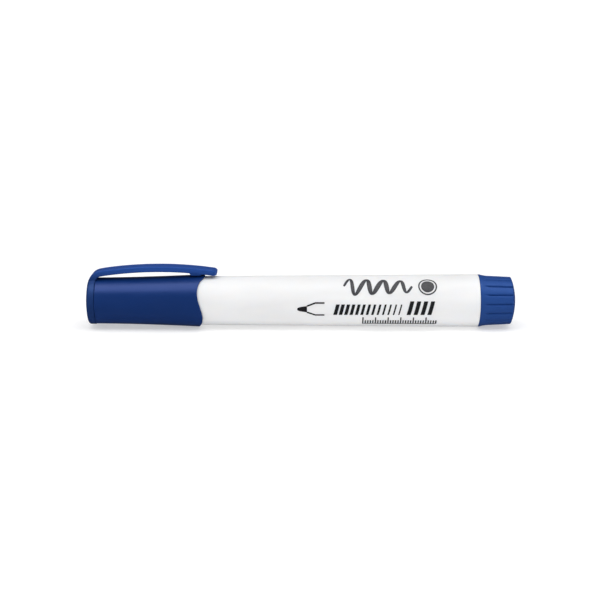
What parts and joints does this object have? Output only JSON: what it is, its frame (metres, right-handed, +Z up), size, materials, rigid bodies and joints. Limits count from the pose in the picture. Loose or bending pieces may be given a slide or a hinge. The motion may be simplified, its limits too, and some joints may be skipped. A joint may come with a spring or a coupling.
{
  "type": "whiteboard marker",
  "caption": "Capped round marker: tapered tube with nib, fibre ink reservoir, push-fit end plug, and a pull-off cap with liner and flexing pocket clip.",
  "frame": {"origin": "on the surface that the marker lies on, under the middle of its length", "axes": "+X along the marker's axis from the cap end to the plug end, +Z up through the clip, +Y to the far side"},
  "size_m": [0.135, 0.0166, 0.0197],
  "materials": {
    "barrel_plastic": "satin white moulding",
    "natural_plastic": "natural white polypropylene",
    "nib_felt": "pressed acrylic fibre soaked with blue ink",
    "reservoir_fibre": "bonded polyester fibre soaked with blue ink",
    "film": "thin wrapping film",
    "trim_plastic": "matt blue moulding",
    "cap_plastic": "satin dark blue moulding",
    "print_ink": "thin dark pad print"
  },
  "bodies": {
    "barrel": {"barrel": "barrel_plastic", "front_section": "natural_plastic", "nib": "nib_felt", "ink_reservoir": "reservoir_fibre", "reservoir_film": "film"},
    "liner": {"inner_cap": "natural_plastic"},
    "cap": {"cap_shell": "cap_plastic", "cap_end_disc": "trim_plastic"},
    "clip": {"pocket_clip": "trim_plastic"},
    "plug": {"end_plug": "trim_plastic"}
  },
  "joints": [
    {"name": "cap_slide", "type": "slide", "parent": "barrel", "child": "liner", "axis": [-1, 0, 0], "range_m": [0, 0.045]},
    {"name": "cap_spin", "type": "hinge", "parent": "liner", "child": "cap", "pos_m": [-0.05, 0, 0.0083], "axis": [1, 0, 0], "continuous": true},
    {"name": "clip_flex", "type": "hinge", "parent": "cap", "child": "clip", "pos_m": [-0.06345, 0, 0.0175], "axis": [0, -1, 0], "range_deg": [0, 4], "stiffness_Nm_per_rad": 2},
    {"name": "plug_slide", "type": "slide", "parent": "barrel", "child": "plug", "axis": [1, 0, 0], "range_m": [0, 0.022]}
  ]
}
